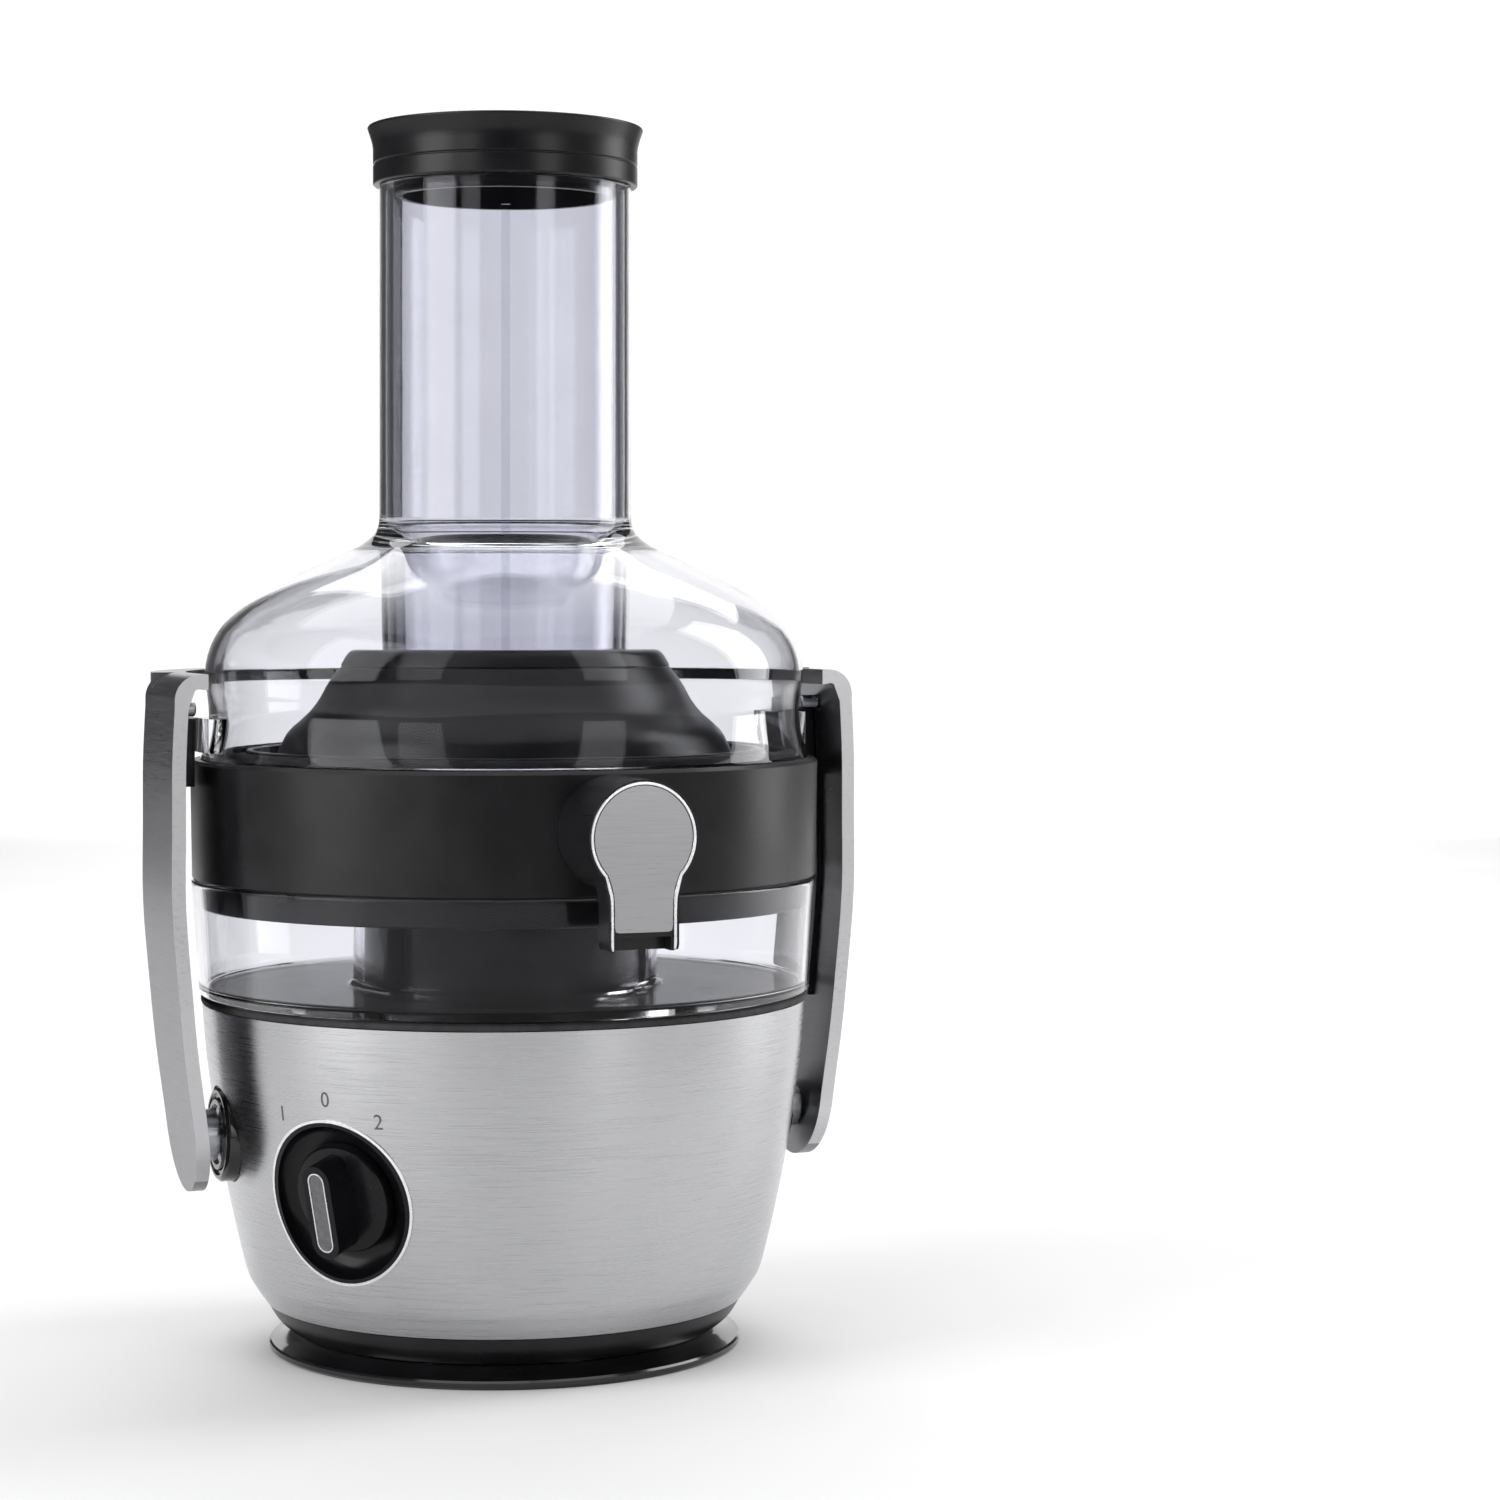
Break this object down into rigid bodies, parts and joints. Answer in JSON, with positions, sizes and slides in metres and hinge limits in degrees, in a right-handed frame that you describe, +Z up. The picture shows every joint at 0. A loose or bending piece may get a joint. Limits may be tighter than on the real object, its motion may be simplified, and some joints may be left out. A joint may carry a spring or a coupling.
{
  "type": "centrifugal juicer",
  "caption": "Upright centrifugal juicer with a round brushed-steel base, clear pulp ring and dome, wide feed tube with pusher, drip-stop spout and swinging locking bail.",
  "frame": {"origin": "centre of the flat underside of the foot disc, on the drive axis", "axes": "+Z up along the drive axis, -Y forward through the juice spout, X along the pivot axis of the bail"},
  "size_m": [0.2536, 0.271, 0.4356],
  "materials": {
    "gloss_black": "injection-moulded gloss black plastic",
    "satin_black": "satin black moulded plastic",
    "brushed_housing": "stainless steel brushed round the casing",
    "bail_aluminium": "brushed and clear-anodised aluminium",
    "clear_plastic": "clear moulded plastic",
    "rubber": "black rubber",
    "machined_steel": "turned and plated steel",
    "lamination": "varnished steel laminations",
    "copper": "enamelled copper",
    "carbon": "pressed carbon",
    "board_green": "solder-masked circuit board",
    "grey_plastic": "grey moulded plastic"
  },
  "bodies": {
    "base": {"foot_disc": "gloss_black", "knob_dish": "gloss_black", "rubber_foot_1": "rubber", "rubber_foot_2": "rubber", "rubber_foot_3": "rubber", "rubber_foot_4": "rubber", "foot_screw_1": "machined_steel", "foot_screw_2": "machined_steel", "foot_screw_3": "machined_steel", "foot_screw_4": "machined_steel", "housing_shell": "brushed_housing", "chassis": "satin_black", "top_deck": "satin_black", "safety_switch": "satin_black", "pivot_bushing_left": "satin_black", "pivot_bushing_right": "satin_black", "deck_gasket": "rubber", "shaft_seal": "rubber", "cord_gland": "rubber", "lower_bracket": "machined_steel", "upper_bracket": "machined_steel", "lower_bearing": "machined_steel", "upper_bearing": "machined_steel", "motor_can": "machined_steel", "motor_stator": "lamination", "stator_coil_lower": "copper", "stator_coil_upper": "copper", "carbon_brush_left": "carbon", "carbon_brush_right": "carbon", "circuit_board": "board_green", "speed_switch": "grey_plastic"},
    "rotor": {"motor_shaft": "machined_steel", "commutator": "copper", "armature": "lamination", "cooling_fan": "satin_black", "drive_coupling": "grey_plastic"},
    "control": {"speed_knob": "gloss_black", "knob_insert": "grey_plastic"},
    "bail": {"locking_bail": "bail_aluminium", "bail_liner_left": "satin_black", "bail_liner_right": "satin_black", "pivot_pin_left": "machined_steel", "pivot_pin_right": "machined_steel", "lock_pin_left": "machined_steel", "lock_pin_right": "machined_steel"},
    "container": {"pulp_container": "clear_plastic"},
    "collector": {"juice_collector": "satin_black", "spout_socket": "satin_black"},
    "spout": {"drip_stop_spout": "satin_black", "spout_face": "brushed_housing"},
    "sieve": {"sieve_cone": "satin_black", "sieve_mesh": "brushed_housing", "sieve_hub": "satin_black", "grater_disc": "brushed_housing"},
    "lid": {"lid": "clear_plastic", "lid_seal": "rubber", "feed_tube": "clear_plastic"},
    "pusher": {"pusher_tube": "clear_plastic", "pusher_cap": "satin_black"}
  },
  "joints": [
    {"name": "rotor_spin", "type": "hinge", "parent": "base", "child": "rotor", "pos_m": [0, 0, 0.09], "axis": [0, 0, 1], "continuous": true},
    {"name": "knob_turn", "type": "hinge", "parent": "base", "child": "control", "pos_m": [-0.07955, -0.0606, 0.0632], "axis": [-0.7718, -0.588, -0.2419], "range_deg": [-35, 35]},
    {"name": "bail_swing", "type": "hinge", "parent": "base", "child": "bail", "pos_m": [0, 0, 0.0796], "axis": [-1, 0, 0], "range_deg": [0, 62]},
    {"name": "container_lift", "type": "slide", "parent": "base", "child": "container", "axis": [0, 0, 1], "range_m": [0, 0.06]},
    {"name": "collector_lift", "type": "slide", "parent": "container", "child": "collector", "axis": [0, 0, 1], "range_m": [0, 0.06]},
    {"name": "spout_turn", "type": "hinge", "parent": "collector", "child": "spout", "pos_m": [0, -0.13, 0.1894], "axis": [0, -1, 0], "range_deg": [0, 180]},
    {"name": "sieve_spin", "type": "hinge", "parent": "collector", "child": "sieve", "pos_m": [0, 0, 0.18], "axis": [0, 0, 1], "continuous": true},
    {"name": "lid_lift", "type": "slide", "parent": "collector", "child": "lid", "axis": [0, 0, 1], "range_m": [0, 0.08]},
    {"name": "pusher_slide", "type": "slide", "parent": "lid", "child": "pusher", "axis": [0, 0, 1], "range_m": [0, 0.24]}
  ],
  "couplings": [
    {"joint": "sieve_spin", "follows": "rotor_spin", "ratio": 1}
  ]
}
